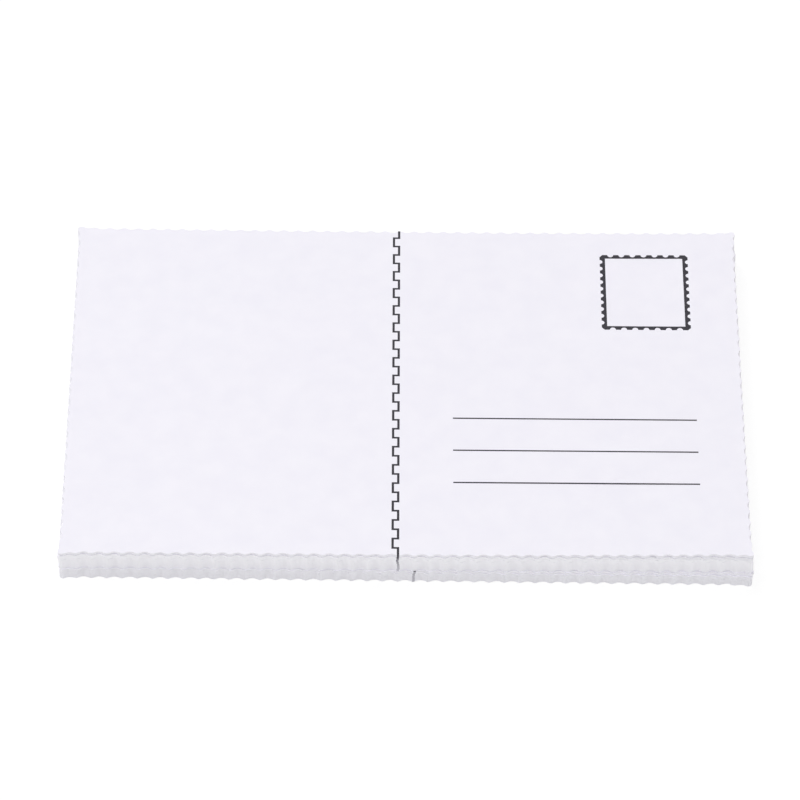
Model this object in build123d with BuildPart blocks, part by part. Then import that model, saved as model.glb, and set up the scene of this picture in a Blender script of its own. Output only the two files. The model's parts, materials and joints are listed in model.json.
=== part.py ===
from build123d import *
import math
import os

# A squared-up pile of blank postcards with scalloped edges, in two bundles: the lower bundle is
# turned end for end, and lies a little askew under the upper one. Every card is a loose flat sheet.
# Millimetres, +Z up. The origin is on the table, under the middle of the pile, +X along the cards.

# One card: length and width are across the tips of the scallops. Along both long edges, the die's
# scallops sit a little right of the middle
CARD_LENGTH = 152.4
CARD_WIDTH = 101.6
CARD_THICKNESS = 0.61
SCALLOP_PITCH = 3.387
SCALLOP_DEPTH = 0.5
SCALLOP_SHIFT = 0.15
CORNER_CUT = 0.5

# The pile: cards in each bundle, and the air between two cards of a bundle, between the bundles,
# and under the top card, which nothing presses down
LOWER_COUNT = 5
UPPER_COUNT = 8
AIR_GAP = 0.03
BUNDLE_GAP = 0.05
TOP_GAP = 0.12

# Where the lower bundle lies, seen from the upper one: a shift, and a turn in degrees
LOWER_SHIFT_X = 0.3
LOWER_SHIFT_Y = -0.12
LOWER_ASKEW = -0.25
END_FOR_END = 180.0

# The lower bundle's top card has slid: how far back, and by what turn in degrees
SLID_BACK = 0.1
SLID_TURN = 0.25

# The upper bundle was knocked square by hand: its middle bellies forward, and going down it sways
# left and right, once in so many cards. Its foot and its top card are pushed back
BELLY = 0.15
SWAY = 0.12
SWAY_CARDS = 7
FOOT_BACK = 0.25
TOP_BACK = 0.08

# How far any card strays from there, along and across the card, and in degrees
STRAY_ALONG = 0.03
STRAY_ACROSS = 0.02
STRAY_TURN = 0.01

# Successive cards stray in directions one golden angle apart, so no two neighbours stray alike
GOLDEN_ANGLE = math.pi * (3 - math.sqrt(5))

CARD_COUNT = LOWER_COUNT + UPPER_COUNT


def scalloped_edge(length, width, shift=0.0):
    """The back edge of a length by width sheet, from left to right, with both its corners cut off.

    Points lie by turns on the tip of a scallop and in the dip after it. The pitch is trimmed to a
    whole number of scallops, with a tip at each corner, and the cut starts where that tip would be.
    The scallops between the corners sit to the right by shift.
    """
    scallops = round(length / SCALLOP_PITCH)
    half_step = length / scallops / 2
    tip = width / 2
    heights = (tip, tip - SCALLOP_DEPTH)
    left = shift - length / 2
    between = [(left + k * half_step, heights[k % 2]) for k in range(1, 2 * scallops)]
    cut = length / 2 - CORNER_CUT
    return [(-cut, tip), *between, (cut, tip)]


def card_outline():
    """The outline of a card, clockwise from its back left corner: back, right, front and left."""
    back = scalloped_edge(CARD_LENGTH, CARD_WIDTH, SCALLOP_SHIFT)
    front = [(-x, -y) for x, y in scalloped_edge(CARD_LENGTH, CARD_WIDTH, -SCALLOP_SHIFT)]
    right = [(y, -x) for x, y in scalloped_edge(CARD_WIDTH, CARD_LENGTH)]
    left = [(-x, -y) for x, y in right]
    return back + right + front + left


def lower_lie(number):
    """Where a card of the lower bundle lies along and across the pile, and its turn."""
    y, turn = LOWER_SHIFT_Y, END_FOR_END + LOWER_ASKEW
    if number == LOWER_COUNT - 1:
        y += SLID_BACK
        turn += SLID_TURN
    return LOWER_SHIFT_X, y, turn


def upper_lie(number):
    """Where a card of the upper bundle lies along and across the pile, and its turn.

    It lies forward by a parabola of its height in the bundle, less the foot's push, which fades with
    the square of the way to the top. It lies to the side by a sine of the number of cards above it.
    """
    above = CARD_COUNT - 1 - number
    height = 1 - (above + 0.5) / UPPER_COUNT
    x = -SWAY * math.sin(2 * math.pi * above / SWAY_CARDS)
    y = FOOT_BACK * (1 - height) ** 2 - 4 * BELLY * height * (1 - height)
    if above == 0:
        y += TOP_BACK
    return x, y, 0.0


def lie(number):
    """Where a card lies in the pile, counted from 0 at the bottom, before the pile is centred."""
    height = number * (CARD_THICKNESS + AIR_GAP)
    if number < LOWER_COUNT:
        x, y, turn = lower_lie(number)
    else:
        x, y, turn = upper_lie(number)
        height += BUNDLE_GAP - AIR_GAP
    if number == CARD_COUNT - 1:
        height += TOP_GAP - AIR_GAP
    angle = number * GOLDEN_ANGLE
    x += STRAY_ALONG * math.sin(angle)
    y += STRAY_ACROSS * math.cos(angle)
    turn += STRAY_TURN * math.sin(2 * angle)
    return Location((x, y, height), (0, 0, turn))


def pile_middle(outline):
    """The middle of the pile, seen from above, from the outlines of all its cards."""
    points = [
        (lie(number) * Location((x, y, 0))).position
        for number in range(CARD_COUNT)
        for x, y in outline
    ]
    xs = [point.X for point in points]
    ys = [point.Y for point in points]
    return Location(((min(xs) + max(xs)) / 2, (min(ys) + max(ys)) / 2, 0))


def card_name(number):
    """Cards are named by bundle and counted upwards from the bottom of each."""
    if number < LOWER_COUNT:
        return f"lower_postcard_{number + 1}"
    return f"upper_postcard_{number - LOWER_COUNT + 1}"


os.makedirs("parts", exist_ok=True)
outline = card_outline()
to_origin = pile_middle(outline).inverse()

for number in range(CARD_COUNT):
    with BuildPart() as postcard:
        with BuildSketch(Plane(to_origin * lie(number))):
            with BuildLine():
                Polyline(*outline, close=True)
            make_face()
        extrude(amount=CARD_THICKNESS)

    postcard.part.label = card_name(number)
    export_step(postcard.part, f"parts/{postcard.part.label}.step")
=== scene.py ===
"""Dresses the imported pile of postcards: the scalloped cards, their print, a studio and a camera.

Metres in the row frame, +Z up. Measures of the card and its print are written in millimetres times
MM. Every card is the same sheet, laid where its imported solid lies, with its own print on its face.
"""

import json
import math
from collections import namedtuple

import bpy
import numpy as np
from mathutils import Matrix, Vector


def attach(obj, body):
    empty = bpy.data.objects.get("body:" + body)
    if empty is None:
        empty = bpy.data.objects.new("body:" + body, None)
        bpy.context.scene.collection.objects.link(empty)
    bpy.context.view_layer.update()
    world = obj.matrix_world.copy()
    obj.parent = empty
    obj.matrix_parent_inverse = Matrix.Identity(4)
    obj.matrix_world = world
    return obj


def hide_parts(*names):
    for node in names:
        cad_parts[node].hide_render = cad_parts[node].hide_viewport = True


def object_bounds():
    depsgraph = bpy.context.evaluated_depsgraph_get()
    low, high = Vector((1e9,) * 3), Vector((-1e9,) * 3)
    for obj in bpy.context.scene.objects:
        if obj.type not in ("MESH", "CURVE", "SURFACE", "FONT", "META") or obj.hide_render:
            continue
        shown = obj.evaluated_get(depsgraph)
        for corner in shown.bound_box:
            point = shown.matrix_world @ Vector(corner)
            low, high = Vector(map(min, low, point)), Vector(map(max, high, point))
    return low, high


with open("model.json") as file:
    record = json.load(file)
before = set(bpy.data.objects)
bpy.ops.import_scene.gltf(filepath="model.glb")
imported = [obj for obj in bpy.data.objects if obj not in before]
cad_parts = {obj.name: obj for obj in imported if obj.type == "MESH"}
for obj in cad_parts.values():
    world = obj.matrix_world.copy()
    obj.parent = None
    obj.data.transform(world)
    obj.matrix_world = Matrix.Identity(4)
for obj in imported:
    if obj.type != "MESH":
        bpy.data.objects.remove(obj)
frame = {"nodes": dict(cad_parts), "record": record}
cad_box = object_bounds()

MM = 0.001

# The die-cut edge: the scallops of the solids, drawn as a wave, with rounded corners. Along both long
# edges, the scallops sit a little right of the middle. The dip next to a corner is a share as deep,
# and the corner itself is a lobe that stands out by a share of that depth
SCALLOP_PITCH = 3.387 * MM
SCALLOP_DEPTH = 0.5 * MM
SCALLOP_SHIFT = 0.15 * MM
CORNER_RADIUS = 1.2 * MM
CORNER_DIP = 0.4
CORNER_LOBE = 1.0
STEPS_PER_SCALLOP = 12

# The rim, rolled over a little by the die: how far in from the cut, and how far from the nearer face
RIM_INSET = np.array([0.006, 0.0025, 0.0007, 0.0]) * MM
RIM_DROP = np.array([0.0, 0.001, 0.003, 0.007]) * MM

# The lowest card of each lift that was cut at once is crushed under its dips, where its cut leans in
# by up to so much more, from so far up. Each such card has how hard it is crushed at its left end and
# at its right end, as it is read
CRUSH_INSET = np.array([0.0, 0.045, 0.09, 0.135]) * MM
CRUSH_RISE = np.array([0.5, 0.33, 0.16, 0.0]) * MM
CRUSHED_ENDS = {
    "lower_postcard_5": (0.0, 1.0),
    "upper_postcard_1": (0.0, 1.0),
    "upper_postcard_8": (1.0, 1.0),
}

# From the cut to the even grid of the face
FACE_MARGIN = 2.6 * MM

# The die leaves a burr along the back of every cut, which fills the air under it: this share of it,
# but no more than this depth
BURR_SHARE = 0.6
BURR_DEPTH = 0.06 * MM

# Three corners of the pile swell, as cards curl a little: which corners, which way from the +X axis
# each curl runs out to its corner, how far it lifts the top card, and how far it reaches in from there
CURL_CORNERS = np.array([[1, -1], [-1, 1], [1, 1]])
CURL_WAYS = np.radians([-63, 135, 45])
CURL_LIFT = np.array([1.05, 0.4, 0.45]) * MM
CURL_REACH = np.array([34.0, 60.0, 40.0]) * MM

# Turns tried to find how a card lies: up to a degree from square, a thousandth of a degree apart
TURNS_TRIED = np.radians(np.linspace(-1, 1, 2001))

# Print, from the middle of the card as it is read: how far its film of ink stands proud of the card and
# sinks into it, then the divider, the address lines and the toothed stamp box, width before height
INK_PROUD = 0.01 * MM
INK_SUNK = 0.01 * MM
DIVIDER_LEFT = -2.89 * MM
DIVIDER_RIGHT = -1.70 * MM
DIVIDER_HALF_HEIGHT = 48.5 * MM
DIVIDER_STROKES = 36
DIVIDER_PEN = 0.52 * MM
DRAG_LANES = 6
ADDRESS_START = 10.54 * MM
ADDRESS_END = 65.46 * MM
ADDRESS_HEIGHTS = np.array([-9.06, -18.92, -28.75]) * MM
ADDRESS_PEN = 0.38 * MM
STAMP_MIDDLE = np.array([54.98, 31.36]) * MM
STAMP_INSIDE = np.array([17.92, 21.87]) * MM
STAMP_TEETH = (8, 11)
STAMP_REACH = np.array([1.16, 1.24]) * MM
NOTCH_RADIUS = np.array([0.70, 0.64]) * MM
NOTCH_STEPS = 9
CORNER_STEP = 0.25 * MM

# Sizes of the patterns in the materials, and depths of their relief
CLOUD_SIZE = 5 * MM
FIBRE_SIZE = 0.25 * MM
FIBRE_DEPTH = 0.03 * MM
LAYER_LENGTH = 2 * MM
LAYER_HEIGHT = 0.16 * MM
TEAR_SIZE = 0.3 * MM
TEAR_DEPTH = 0.04 * MM
PATCH_SIZE = 0.4 * MM
SMEAR_SIZE = 0.5 * MM
MOTTLE_SIZE = 40 * MM
PAPER_IOR = 1.5

# The studio: where each softbox stands, its side in metres, and its watts. Then the strength of the
# room's own light, and of the floor's glow with its share in what the camera sees of the floor
SOFTBOXES = {
    "back_softbox": ((-0.9, 1.2, 1.9), 1.5, 28.2),
    "left_softbox": ((-1.3, -0.3, 0.6), 1.0, 4.8),
    "right_softbox": ((1.3, -0.3, 0.6), 1.0, 4.4),
    "front_softbox": ((0.0, -1.5, 1.2), 1.0, 10.8),
}
ROOM_STRENGTH = 0.305
GLOW_STRENGTH = 1.17
GLOW_SHARE = 0.7
FLOOR_SIZE = 8.0
FLOOR_DROP = 0.02 * MM

# The camera, which looks at a point given from the middle of the top card's face
CAMERA_TARGET = (-1.37 * MM, -3.535 * MM)
CAMERA_AZIMUTH = math.radians(-0.43)
CAMERA_ELEVATION = math.radians(46.32)
CAMERA_ROLL = math.radians(0.80)
CAMERA_DISTANCE = 1.1754
CAMERA_LENS = 234.3
SENSOR_WIDTH = 36.0

Lie = namedtuple("Lie", "middle turn underside thickness length width")
Edge = namedtuple("Edge", "hub outward dip")


def unpacked_points(node):
    """The corners of a packed card, each once, to a tenth of a thousandth of a millimetre."""
    mesh = frame["nodes"][node].data
    points = np.empty(len(mesh.vertices) * 3)
    mesh.vertices.foreach_get("co", points)
    return np.unique(points.reshape(-1, 3).round(7), axis=0)


def card_lie(node):
    """Where a packed card lies, from its corners.

    Its middle is the middle of its box. Its turn is the one of many tried whose box round the card,
    lined up with it, is the smallest, and that box gives its length and width. A card of the lower
    bundle is turned end for end as well, which its box can't show.
    """
    points = unpacked_points(node)
    low, high = points.min(0), points.max(0)
    x, y = (points[:, :2] - (low + high)[:2] / 2).T
    cos, sin = np.cos(TURNS_TRIED), np.sin(TURNS_TRIED)
    lengths = np.ptp(np.outer(x, cos) + np.outer(y, sin), axis=0)
    widths = np.ptp(np.outer(y, cos) - np.outer(x, sin), axis=0)
    best = np.argmin(lengths * widths)
    turn = TURNS_TRIED[best] + (math.pi if node.startswith("lower") else 0.0)
    return Lie((low + high)[:2] / 2, turn, low[2], high[2] - low[2], lengths[best], widths[best])


def burred(lie, lies):
    """A card's lie, with the card thicker on its back by its burr, which fills the air under it."""
    tops = [other.underside + other.thickness for other in lies if other.underside < lie.underside]
    air = lie.underside - max(tops, default=lie.underside)
    burr = min(BURR_SHARE * air, BURR_DEPTH)
    return lie._replace(underside=lie.underside - burr, thickness=lie.thickness + burr)


def laid(points, lie):
    """Points of a card, given as it is read with its underside at height 0, moved to its lie."""
    cos, sin = math.cos(lie.turn), math.sin(lie.turn)
    turn = np.array([[cos, sin, 0], [-sin, cos, 0], [0, 0, 1]])
    return points @ turn + np.array([*lie.middle, lie.underside])


def curled(points, lie):
    """Points in the row frame, raised at the pile's swollen corners.

    At each such corner the rise is its lift times the square of the distance past a line, over the
    distance from that line to the corner. The line lies square to the curl's way. Points below the
    top of the pile rise less, as their height is to the top's, so the cards stay close together.
    """
    ways = np.stack([np.cos(CURL_WAYS), np.sin(CURL_WAYS)])
    corners = (CURL_CORNERS * [lie.length / 2, lie.width / 2] * ways.T).sum(1)
    short = corners - (points[:, :2] - lie.middle) @ ways
    past = np.clip(1 - short / CURL_REACH, 0, None)
    return points + np.outer(past**2 @ CURL_LIFT * points[:, 2] / cad_box[1][2], [0, 0, 1])


def scalloped_side(length, width, shift=0.0):
    """The back edge of a length by width card, left to right: its hubs, directions and dips.

    The line along the tips is a straight run with an eighth of a circle at each end, which lies one
    corner's radius out from its hubs. A point s scallops along that line dips in from it by
    1 - |cos(pi s)| cubed of the scallop's depth: broad dips, narrower tips, and a tip at each
    corner. The first and last dips are shallower. Between them, the whole wave sits to the right by
    shift, which fades out at the corners. A corner's lobe stands out by the square of cos(pi s), for
    half a scallop.
    """
    scallops = round(length / SCALLOP_PITCH)
    count = np.arange(scallops * STEPS_PER_SCALLOP) / STEPS_PER_SCALLOP
    straight = length - 2 * CORNER_RADIUS
    bend = CORNER_RADIUS * math.pi / 4
    from_corner = np.minimum(count, scallops - count)
    fade = np.clip(2 * from_corner, 0, 1)
    place = count * (straight + 2 * bend) / scallops - bend + shift * fade
    angle = (np.clip(place, None, 0) + np.clip(place - straight, 0, None)) / CORNER_RADIUS
    along = np.clip(place, 0, straight) - straight / 2
    hub = np.column_stack([along, np.full_like(along, width / 2 - CORNER_RADIUS)])
    outward = np.column_stack([np.sin(angle), np.cos(angle)])
    depth = np.where(from_corner < 1, CORNER_DIP, 1.0)
    wave = depth * (1 - np.abs(np.cos(math.pi * count)) ** 3)
    lobe = CORNER_LOBE * np.cos(math.pi * np.minimum(from_corner, 0.5)) ** 2
    return Edge(hub, outward, wave - lobe)


def card_edge(length, width):
    """A card's whole edge, clockwise: back, right, front and left, as hubs, directions and dips.

    The front is a back edge turned half round, and right and left are ones turned by quarters.
    """
    back = scalloped_side(length, width, SCALLOP_SHIFT)
    right = scalloped_side(width, length)
    front = scalloped_side(length, width, -SCALLOP_SHIFT)
    quarter = np.array([[0, -1], [1, 0]])
    turns = (np.eye(2), quarter, -np.eye(2), -quarter)
    sides = (back, right, front, right)
    hub = np.concatenate([side.hub @ turn for side, turn in zip(sides, turns)])
    outward = np.concatenate([side.outward @ turn for side, turn in zip(sides, turns)])
    return Edge(hub, outward, np.concatenate([side.dip for side in sides]))


def dip_at(lie, x, shift):
    """How far the back edge dips at x, as a share of a scallop's depth."""
    edge = scalloped_side(lie.length, lie.width, shift)
    return np.interp(x, edge.hub[:, 0], edge.dip)


def at_height(flat, height):
    """Flat points set at a height."""
    return np.column_stack([flat, np.full(len(flat), height)])


def bruise(lie, x, dip, ends):
    """How much of the full crush the edge has at x along the card.

    It is the square of how hard the card is crushed there, which changes evenly from its left end to
    its right one, times the fourth power of the dip.
    """
    pressed = np.interp(x, [-lie.length / 2, lie.length / 2], ends)
    return pressed**2 * np.clip(dip, 0, 1) ** 4


def rim_profile(thickness, crush):
    """The rim's profile from the face down to the back: its insets and heights, a row for each.

    It is the same round the face and the back, but the crush is added round the back.
    """
    plain = np.ones_like(crush)
    back_inset = np.outer(RIM_INSET[::-1], plain) + np.outer(CRUSH_INSET, crush)
    back_height = np.outer(RIM_DROP[::-1], plain) + np.outer(CRUSH_RISE, crush)
    inset = np.concatenate([np.outer(RIM_INSET, plain), back_inset])
    height = np.concatenate([thickness - np.outer(RIM_DROP, plain), back_height])
    return inset, height


def card_shape(lie, ends):
    """Points, polygons, the number of face polygons, and the points on the two rims of one card.

    Round the cut, the rim's profile is carried along the edge, row by row: each point lies out from
    its hub by the corner's radius, less its inset and its dip. Each face is an even grid with one
    square to each scallop, and a border polygon joins each scallop to its square. Ends says how hard
    the card is crushed at its left and right ends.
    """
    edge = card_edge(lie.length, lie.width)
    inset, height = rim_profile(lie.thickness, bruise(lie, edge.hub[:, 0], edge.dip, ends))
    rows, around = inset.shape
    out = CORNER_RADIUS - inset - SCALLOP_DEPTH * edge.dip
    rim = np.dstack([edge.hub + edge.outward * out[..., None], height]).reshape(-1, 3)
    columns = round(lie.length / SCALLOP_PITCH)
    lines = round(lie.width / SCALLOP_PITCH)
    grid_x, grid_y = np.meshgrid(
        np.linspace(-1, 1, columns + 1) * (lie.length / 2 - FACE_MARGIN),
        np.linspace(-1, 1, lines + 1) * (lie.width / 2 - FACE_MARGIN),
    )
    grid = np.column_stack([grid_x.ravel(), grid_y.ravel()])
    points = np.concatenate([rim, at_height(grid, lie.thickness), at_height(grid, 0)])

    top = rows * around + np.arange(len(grid)).reshape(lines + 1, columns + 1)
    squares = np.stack([top[:-1, :-1], top[:-1, 1:], top[1:, 1:], top[1:, :-1]], -1).reshape(-1, 4)
    hem = np.concatenate([top[-1, :-1], top[:0:-1, -1], top[0, :0:-1], top[:-1, 0]])
    first = np.arange(0, around, STEPS_PER_SCALLOP)[:, None]
    scallop = (first + np.arange(STEPS_PER_SCALLOP + 1)) % around
    border = np.column_stack([scallop, np.roll(hem, -1), hem])
    back_rim = (rows - 1) * around
    back_border = np.column_stack([scallop + back_rim, border[:, -2:] + len(grid)])

    row = np.arange(rows - 1)[:, None] * around
    here, ahead = np.arange(around), (np.arange(around) + 1) % around
    below = row + around
    cut = np.stack([row + here, row + ahead, below + ahead, below + here], -1).reshape(-1, 4)
    faces = [squares, (squares + len(grid))[:, ::-1], border[:, ::-1], back_border]
    rims = np.concatenate([np.arange(around), back_rim + np.arange(around)])
    return points, [*faces, cut], sum(map(len, faces)), rims


def stroke(path, pen):
    """The left and right rails of a line drawn with a pen of this width.

    Each rail stands off by half the pen along the mitre: the sum of the two runs' left-hand
    directions, over one plus their dot product.
    """
    runs = np.diff(path, axis=0)
    ahead = runs / np.linalg.norm(runs, axis=1, keepdims=True)
    left = np.column_stack([-ahead[:, 1], ahead[:, 0]])
    before, after = np.concatenate([left[:1], left]), np.concatenate([left, left[-1:]])
    mitre = (before + after) / (1 + (before * after).sum(1, keepdims=True))
    return path + mitre * pen / 2, path - mitre * pen / 2


def divider_path(lie):
    """The divider's line: a square wave down the card between two uprights, from edge to edge."""
    levels = np.linspace(DIVIDER_HALF_HEIGHT, -DIVIDER_HALF_HEIGHT, DIVIDER_STROKES)
    crossing = np.array([DIVIDER_RIGHT, DIVIDER_LEFT])
    sides = np.stack([crossing, crossing[::-1]] * (DIVIDER_STROKES // 2))
    wave = np.column_stack([sides.ravel(), levels.repeat(2)])
    tips = lie.width / 2 - RIM_INSET[0]
    back = tips - SCALLOP_DEPTH * dip_at(lie, DIVIDER_RIGHT, SCALLOP_SHIFT)
    front = tips - SCALLOP_DEPTH * dip_at(lie, -DIVIDER_RIGHT, -SCALLOP_SHIFT)
    return np.concatenate([[[DIVIDER_RIGHT, back]], wave, [[DIVIDER_RIGHT, -front]]])


def toothed_side(inside, teeth, reach, radius):
    """One side of the stamp box, left to right: its toothed outer line, and its inner one to match.

    The outer line runs at the reach of the teeth, with half circles cut into it midway between them.
    The first and last teeth stand on the corners of the inside. The inner line has a point for each
    point of the outer one, spread evenly from just past the first corner to the last one.
    """
    pitch = inside / (teeth - 1)
    end = inside / 2 + pitch / 2 - radius
    angle = np.linspace(math.pi, 0, NOTCH_STEPS)
    middles = (np.arange(teeth - 1) + 0.5) * pitch - inside / 2
    along = np.concatenate([[-end], np.add.outer(middles, radius * np.cos(angle)).ravel(), [end]])
    dip = np.concatenate([[0], np.tile(radius * np.sin(angle), teeth - 1), [0]])
    within = np.linspace(CORNER_STEP - inside / 2, inside / 2, len(along))
    return along, reach - dip, within


def stamp_rails():
    """The stamp box's outer and inner lines, clockwise from its top left corner."""
    wide, high = STAMP_INSIDE
    along, out, within = toothed_side(wide, STAMP_TEETH[0], STAMP_REACH[0], NOTCH_RADIUS[0])
    top = np.column_stack([along, out + high / 2])
    top_within = np.column_stack([within, np.full_like(within, high / 2)])
    along, out, within = toothed_side(high, STAMP_TEETH[1], STAMP_REACH[1], NOTCH_RADIUS[1])
    right = np.column_stack([out + wide / 2, -along])
    right_within = np.column_stack([np.full_like(within, wide / 2), -within])
    outer = np.concatenate([top, right, -top, -right])
    inner = np.concatenate([top_within, right_within, -top_within, -right_within])
    return outer + STAMP_MIDDLE, inner + STAMP_MIDDLE


def film(lanes, closed):
    """Points and polygons of a thin film, from the lines along it.

    They run round it: from its left to its right edge above, and back from right to left below.
    """
    round_it, count = lanes.shape[:2]
    here = np.arange(count if closed else count - 1)
    ahead = (here + 1) % count
    lane = np.arange(round_it)[:, None] * count
    beside = np.roll(lane, -1, axis=0)
    sides = np.stack([lane + here, beside + here, beside + ahead, lane + ahead], -1).reshape(-1, 4)
    over = np.arange(round_it // 2 - 1)
    under = round_it - 1 - over
    end = np.column_stack([over, over + 1, under - 1, under]) * count
    ends = np.concatenate([end[:, ::-1], end + count - 1])
    return lanes.reshape(-1, 3), sides if closed else np.concatenate([sides, ends])


def flat_lanes(left, right, thickness):
    """The four lines of a film on the face: proud of it above, and sunk into it below."""
    proud, sunk = thickness + INK_PROUD, thickness - INK_SUNK
    above = [at_height(left, proud), at_height(right, proud)]
    below = [at_height(right, sunk), at_height(left, sunk)]
    return np.stack(above + below)


def dragged_lanes(lie, middle, shift, ends):
    """The lines of the ink that the die drags down the back edge, where a line runs off at middle.

    The rim's profile is moved out and in along its own normal, in steps across the pen.
    """
    across = np.linspace(1, -1, DRAG_LANES)
    above = [(side, -INK_PROUD) for side in across]
    below = [(side, INK_SUNK) for side in -across]
    lanes = []
    for side, move in above + below:
        x = middle + side * DIVIDER_PEN / 2
        dip = dip_at(lie, x, shift)
        crush = np.array([bruise(lie, x, dip, ends)])
        profile = np.column_stack(rim_profile(lie.thickness, crush))
        slope = np.gradient(profile, axis=0)
        inward = np.column_stack([-slope[:, 1], slope[:, 0]])
        inward /= np.linalg.norm(inward, axis=1, keepdims=True)
        inset, height = (profile + inward * move).T
        y = lie.width / 2 - SCALLOP_DEPTH * dip - inset
        lanes.append(np.column_stack([np.full_like(y, x), y, height]))
    return np.stack(lanes)


def print_shape(lie, ends):
    """Points, polygons and the number of polygons in full ink of everything printed on one card."""
    address = [
        stroke(np.array([[ADDRESS_START, height], [ADDRESS_END, height]]), ADDRESS_PEN)
        for height in ADDRESS_HEIGHTS
    ]
    open_rails = [stroke(divider_path(lie), DIVIDER_PEN), *address]
    films = [film(flat_lanes(*stamp_rails(), lie.thickness), True)]
    films += [film(flat_lanes(*rails, lie.thickness), False) for rails in open_rails]
    inked = sum(len(polygons) for _, polygons in films)
    half_turn = np.array([-1, -1, 1])
    back = dragged_lanes(lie, DIVIDER_RIGHT, SCALLOP_SHIFT, ends)
    front = dragged_lanes(lie, -DIVIDER_RIGHT, -SCALLOP_SHIFT, ends[::-1]) * half_turn
    films += [film(back, False), film(front, False)]
    starts = np.cumsum([0] + [len(points) for points, _ in films[:-1]])
    polygons = [polygons + start for (_, polygons), start in zip(films, starts)]
    return np.concatenate([points for points, _ in films]), [np.concatenate(polygons)], inked


def make_piece(name, points, polygons, materials, first_count, sharp=()):
    """A mesh object of these points and polygons.

    The first first_count polygons take the first material and the rest the second. Edges between
    two of the sharp points stay crisp; all others are smooth.
    """
    mesh = bpy.data.meshes.new(name)
    mesh.vertices.add(len(points))
    mesh.vertices.foreach_set("co", points.ravel())
    sizes = np.concatenate([np.full(len(group), group.shape[1]) for group in polygons])
    corners = np.concatenate([group.ravel() for group in polygons])
    mesh.loops.add(len(corners))
    mesh.loops.foreach_set("vertex_index", corners)
    mesh.polygons.add(len(sizes))
    mesh.polygons.foreach_set("loop_start", np.cumsum(sizes) - sizes)
    mesh.polygons.foreach_set("material_index", (np.arange(len(sizes)) >= first_count).astype(int))
    mesh.polygons.foreach_set("use_smooth", np.full(len(sizes), len(sharp) > 0))
    mesh.update(calc_edges=True)
    ends = np.empty(len(mesh.edges) * 2, int)
    mesh.edges.foreach_get("vertices", ends)
    crisp = np.isin(ends.reshape(-1, 2), sharp).all(1)
    mesh.attributes.new("sharp_edge", "BOOLEAN", "EDGE").data.foreach_set("value", crisp)
    for material in materials:
        mesh.materials.append(material)
    piece = bpy.data.objects.new(name, mesh)
    bpy.context.scene.collection.objects.link(piece)
    return piece


def linear(code):
    """An sRGB hex colour as linear red, green, blue and alpha."""
    srgb = np.array([int(code[k:k + 2], 16) for k in (1, 3, 5)]) / 255
    low, high = srgb / 12.92, ((srgb + 0.055) / 1.055) ** 2.4
    return (*np.where(srgb <= 0.04045, low, high), 1.0)


def add_node(tree, kind, inputs=None, **settings):
    """Adds a node: settings are its own options, and inputs are values or output sockets to link."""
    node = tree.nodes.new(kind)
    for name, value in settings.items():
        setattr(node, name, value)
    for name, value in (inputs or {}).items():
        if isinstance(value, bpy.types.NodeSocket):
            tree.links.new(value, node.inputs[name])
        else:
            node.inputs[name].default_value = value
    return node


def new_material(name):
    """An empty material, with its node tree, its output's surface socket and Object coordinates."""
    material = bpy.data.materials.new(name)
    material.use_nodes = True
    tree = material.node_tree
    tree.nodes.clear()
    output = add_node(tree, "ShaderNodeOutputMaterial")
    place = add_node(tree, "ShaderNodeTexCoord").outputs["Object"]
    return material, tree, output.inputs["Surface"], place


def smooth_card():
    """Uncoated white card, calendered: matte bluish white, faintly cloudy, with a fine fibrous tooth.

    Real fibres are 0.03 mm across; they are drawn 0.25 mm apart, as fine as shows.
    """
    material, tree, surface, place = new_material("uncoated_card_calendered")
    cloud = add_node(
        tree, "ShaderNodeTexNoise", {"Vector": place, "Scale": 1 / CLOUD_SIZE, "Detail": 3.0},
    )
    fibre = add_node(
        tree, "ShaderNodeTexNoise",
        {"Vector": place, "Scale": 1 / FIBRE_SIZE, "Detail": 4.0, "Roughness": 0.65, "Distortion": 1.5},
    )
    tint = add_node(tree, "ShaderNodeValToRGB", {"Fac": cloud.outputs["Fac"]})
    tint.color_ramp.elements[0].position = 0.3
    tint.color_ramp.elements[0].color = linear("#F3F1FA")
    tint.color_ramp.elements[1].position = 0.7
    tint.color_ramp.elements[1].color = linear("#F6F4FC")
    rough = add_node(
        tree, "ShaderNodeMapRange",
        {
            "Value": fibre.outputs["Fac"], "From Min": 0.3, "From Max": 0.7,
            "To Min": 0.72, "To Max": 0.88,
        },
    )
    tooth = add_node(
        tree, "ShaderNodeBump",
        {"Height": fibre.outputs["Fac"], "Strength": 0.12, "Distance": FIBRE_DEPTH},
    )
    shader = add_node(
        tree, "ShaderNodeBsdfPrincipled",
        {
            "Base Color": tint.outputs["Color"], "Roughness": rough.outputs["Result"],
            "Normal": tooth.outputs["Normal"], "IOR": PAPER_IOR,
        },
    )
    tree.links.new(shader.outputs["BSDF"], surface)
    return material


def ragged_height(tree, place, noise, share, foot, top):
    """How high a place is in the pile, from foot on the table to top, plus a share of a noise."""
    axes = add_node(tree, "ShaderNodeSeparateXYZ", {"Vector": place})
    height = add_node(
        tree, "ShaderNodeMapRange",
        {"Value": axes.outputs["Z"], "From Max": cad_box[1][2], "To Min": foot, "To Max": top},
    )
    ragged = add_node(
        tree, "ShaderNodeMath",
        {0: noise.outputs["Fac"], 1: share, 2: height.outputs["Result"]}, operation="MULTIPLY_ADD",
    )
    return ragged.outputs["Value"]


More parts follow.
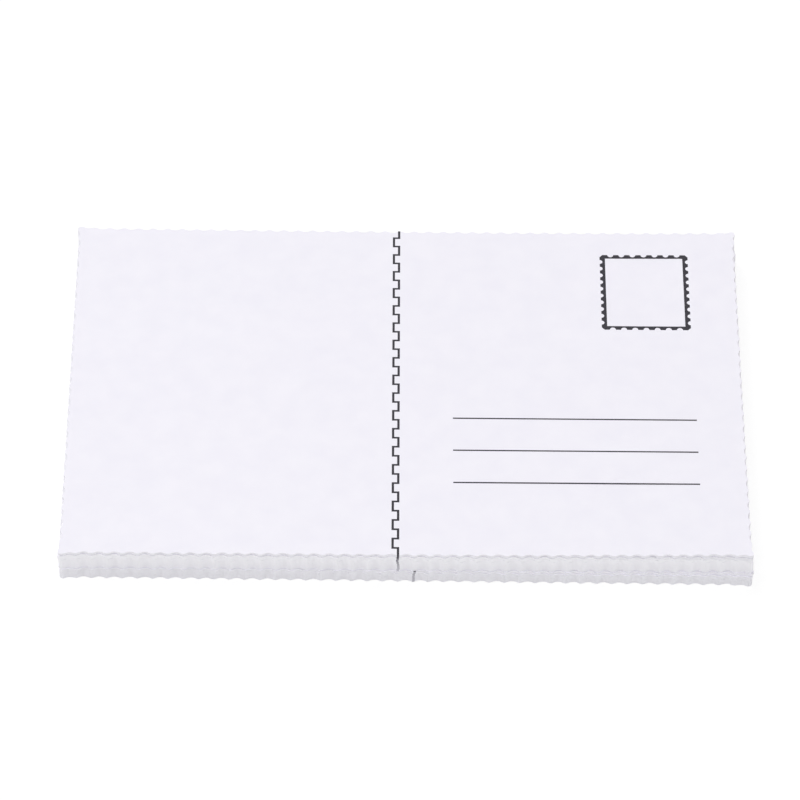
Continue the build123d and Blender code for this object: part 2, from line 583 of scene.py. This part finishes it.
def painted_shade_cut_card():
    """The same card cut by a steel die: torn fibres in layers.

    Its tone is painted shade and light: greyer towards the foot of the pile and on the top card, and
    lightest just below the top card. The layers are 0.05 mm; they are drawn 0.16 mm thick and 2 mm
    long, as fine as shows.
    """
    material, tree, surface, place = new_material("card_edge_die_cut")
    stretched = add_node(
        tree, "ShaderNodeMapping",
        {"Vector": place, "Scale": (1 / LAYER_LENGTH, 1 / LAYER_LENGTH, 1 / LAYER_HEIGHT)},
    )
    layers = add_node(
        tree, "ShaderNodeTexNoise",
        {"Vector": stretched.outputs["Vector"], "Scale": 1.0, "Detail": 3.0, "Roughness": 0.6},
    )
    torn = add_node(
        tree, "ShaderNodeTexNoise", {"Vector": place, "Scale": 1 / TEAR_SIZE, "Detail": 3.0},
    )
    # Painted shade and light: the cut's tone follows its height in the pile, greyer at the foot and on
    # the top card
    height = ragged_height(tree, place, layers, share=0.25, foot=-0.125, top=0.875)
    tint = add_node(tree, "ShaderNodeValToRGB", {"Fac": height})
    tint.color_ramp.elements[0].position = 0.32
    tint.color_ramp.elements[0].color = linear("#F2F1F6")
    tint.color_ramp.elements.new(0.88).color = linear("#FBFAFE")
    tint.color_ramp.elements[2].position = 0.96
    tint.color_ramp.elements[2].color = linear("#F2F1F6")
    tear = add_node(
        tree, "ShaderNodeBump",
        {"Height": torn.outputs["Fac"], "Strength": 0.15, "Distance": TEAR_DEPTH},
    )
    shader = add_node(
        tree, "ShaderNodeBsdfPrincipled",
        {
            "Base Color": tint.outputs["Color"], "Roughness": 0.9,
            "Normal": tear.outputs["Normal"], "IOR": PAPER_IOR,
        },
    )
    tree.links.new(shader.outputs["BSDF"], surface)
    return material


def printed_ink():
    """Offset ink on uncoated card: a soft black, patchy where the fibres drink it, with a low sheen."""
    material, tree, surface, place = new_material("offset_ink_on_uncoated_card")
    patchy = add_node(
        tree, "ShaderNodeTexNoise", {"Vector": place, "Scale": 1 / PATCH_SIZE, "Detail": 3.0},
    )
    tint = add_node(tree, "ShaderNodeValToRGB", {"Fac": patchy.outputs["Fac"]})
    tint.color_ramp.elements[0].position = 0.3
    tint.color_ramp.elements[0].color = linear("#201E25")
    tint.color_ramp.elements[1].position = 0.75
    tint.color_ramp.elements[1].color = linear("#36333C")
    rough = add_node(
        tree, "ShaderNodeMapRange", {"Value": patchy.outputs["Fac"], "To Min": 0.7, "To Max": 0.95},
    )
    shader = add_node(
        tree, "ShaderNodeBsdfPrincipled",
        {"Base Color": tint.outputs["Color"], "Roughness": rough.outputs["Result"], "IOR": PAPER_IOR},
    )
    tree.links.new(shader.outputs["BSDF"], surface)
    return material


def dragged_ink():
    """Ink that the die has dragged down a cut: grey smears, darkest on the card that it met first."""
    material, tree, surface, place = new_material("offset_ink_dragged_by_die")
    smears = add_node(
        tree, "ShaderNodeTexNoise", {"Vector": place, "Scale": 1 / SMEAR_SIZE, "Detail": 3.0},
    )
    height = ragged_height(tree, place, smears, share=0.2, foot=-0.2, top=0.9)
    tint = add_node(tree, "ShaderNodeValToRGB", {"Fac": height})
    tint.color_ramp.elements[0].color = linear("#BDBBC3")
    tint.color_ramp.elements.new(0.4).color = linear("#C4C2CA")
    tint.color_ramp.elements.new(0.7).color = linear("#ABA9B1")
    tint.color_ramp.elements.new(0.85).color = linear("#8F8D95")
    tint.color_ramp.elements[4].position = 0.95
    tint.color_ramp.elements[4].color = linear("#4A4850")
    shader = add_node(
        tree, "ShaderNodeBsdfPrincipled",
        {"Base Color": tint.outputs["Color"], "Roughness": 0.85, "IOR": PAPER_IOR},
    )
    tree.links.new(shader.outputs["BSDF"], surface)
    return material


def background_rays(tree):
    """1 for rays that show the background: from the camera, a reflection or glass. 0 for the rest."""
    rays = add_node(tree, "ShaderNodeLightPath")
    bounced = add_node(
        tree, "ShaderNodeMath",
        {0: rays.outputs["Is Glossy Ray"], 1: rays.outputs["Is Transmission Ray"]}, operation="MAXIMUM",
    )
    seen = add_node(
        tree, "ShaderNodeMath",
        {0: rays.outputs["Is Camera Ray"], 1: bounced.outputs["Value"]}, operation="MAXIMUM",
    )
    return seen.outputs["Value"]


def floor_paint():
    """A pale studio floor, painted matte: a soft shadow under the pile, and white where it is lit.

    To the camera it is part paint, which takes the shadow, and part glow, which brings it to white.
    To the pile it is paint alone.
    """
    material, tree, surface, place = new_material("studio_floor_matte_paint")
    mottle = add_node(tree, "ShaderNodeTexNoise", {"Vector": place, "Scale": 1 / MOTTLE_SIZE})
    tint = add_node(tree, "ShaderNodeValToRGB", {"Fac": mottle.outputs["Fac"]})
    tint.color_ramp.elements[0].color = linear("#E4E4E4")
    tint.color_ramp.elements[1].color = linear("#E7E7E7")
    paint = add_node(tree, "ShaderNodeBsdfDiffuse", {"Color": tint.outputs["Color"]})
    glow = add_node(tree, "ShaderNodeEmission", {"Color": (1, 1, 1, 1), "Strength": GLOW_STRENGTH})
    glowing = add_node(
        tree, "ShaderNodeMapRange",
        {"Value": background_rays(tree), "To Min": 0.0, "To Max": GLOW_SHARE},
    )
    shader = add_node(
        tree, "ShaderNodeMixShader",
        {0: glowing.outputs["Result"], 1: paint.outputs["BSDF"], 2: glow.outputs["Emission"]},
    )
    tree.links.new(shader.outputs["Shader"], surface)
    return material


def softbox(name, place, size, watts):
    """A square area light that faces the pile."""
    lamp = bpy.data.lights.new(name, "AREA")
    lamp.shape = "SQUARE"
    lamp.size = size
    lamp.energy = watts
    light = bpy.data.objects.new(name, lamp)
    light.location = place
    light.rotation_mode = "QUATERNION"
    light.rotation_quaternion = Vector(place).to_track_quat("Z", "Y")
    bpy.context.scene.collection.objects.link(light)


def light_studio():
    """A white room, with large softboxes above the back and the front, and a low one at each end."""
    world = bpy.data.worlds.new("white_room")
    world.use_nodes = True
    tree = world.node_tree
    tree.nodes.clear()
    room = add_node(tree, "ShaderNodeBackground", {"Color": (1, 1, 1, 1), "Strength": ROOM_STRENGTH})
    white = add_node(tree, "ShaderNodeBackground", {"Color": (1, 1, 1, 1), "Strength": 1.0})
    shown = add_node(
        tree, "ShaderNodeMixShader",
        {0: background_rays(tree), 1: room.outputs["Background"], 2: white.outputs["Background"]},
    )
    add_node(tree, "ShaderNodeOutputWorld", {"Surface": shown.outputs["Shader"]})
    bpy.context.scene.world = world
    for name, (place, size, watts) in SOFTBOXES.items():
        softbox(name, place, size, watts)


def set_camera(top):
    """The camera, on a long lens, placed from the top card.

    It looks back along the direction given by its azimuth and elevation, to the target, and is then
    rolled about that line.
    """
    level = np.array([math.cos(CAMERA_AZIMUTH), math.sin(CAMERA_AZIMUTH), 0])
    away = np.array([math.sin(CAMERA_AZIMUTH), -math.cos(CAMERA_AZIMUTH), 0])
    back = away * math.cos(CAMERA_ELEVATION) + np.array([0, 0, math.sin(CAMERA_ELEVATION)])
    upright = np.cross(back, level)
    right = level * math.cos(CAMERA_ROLL) + upright * math.sin(CAMERA_ROLL)
    up = np.cross(back, right)
    target = np.array([*(top.middle + CAMERA_TARGET), top.underside + top.thickness])
    lens = bpy.data.cameras.new("camera")
    lens.lens = CAMERA_LENS
    lens.sensor_width = SENSOR_WIDTH
    camera = bpy.data.objects.new("camera", lens)
    pose = np.eye(4)
    pose[:3] = np.column_stack([right, up, back, target + back * CAMERA_DISTANCE])
    camera.matrix_world = Matrix(pose.tolist())
    bpy.context.scene.collection.objects.link(camera)
    bpy.context.scene.camera = camera


def lay_floor():
    """A flat square floor, just under the pile."""
    half = FLOOR_SIZE / 2
    corners = np.array([[-half, -half], [half, -half], [half, half], [-half, half]])
    floor = make_piece(
        "studio_floor", at_height(corners, -FLOOR_DROP), [np.array([[0, 1, 2, 3]])], [floor_paint()], 1,
    )


card_materials = [smooth_card(), painted_shade_cut_card()]
ink_materials = [printed_ink(), dragged_ink()]
lies = {node: card_lie(node) for node in frame["nodes"]}
top_card = max(lies.values(), key=lambda lie: lie.underside)

for body, nodes in frame["record"]["behaviour"]["bodies"].items():
    for node in nodes:
        lie = burred(lies[node], lies.values())
        ends = CRUSHED_ENDS.get(node, (0.0, 0.0))
        points, polygons, face_count, rims = card_shape(lie, ends)
        points = curled(laid(points, lie), lie)
        card = make_piece(f"{node}_sheet", points, polygons, card_materials, face_count, rims)
        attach(card, body)
        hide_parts(node)
        points, polygons, inked = print_shape(lie, ends)
        points = curled(laid(points, lie), lie)
        ink = make_piece(f"{node}_print", points, polygons, ink_materials, inked)
        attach(ink, body)

lay_floor()
light_studio()
set_camera(top_card)
bpy.context.scene.view_settings.view_transform = "Standard"
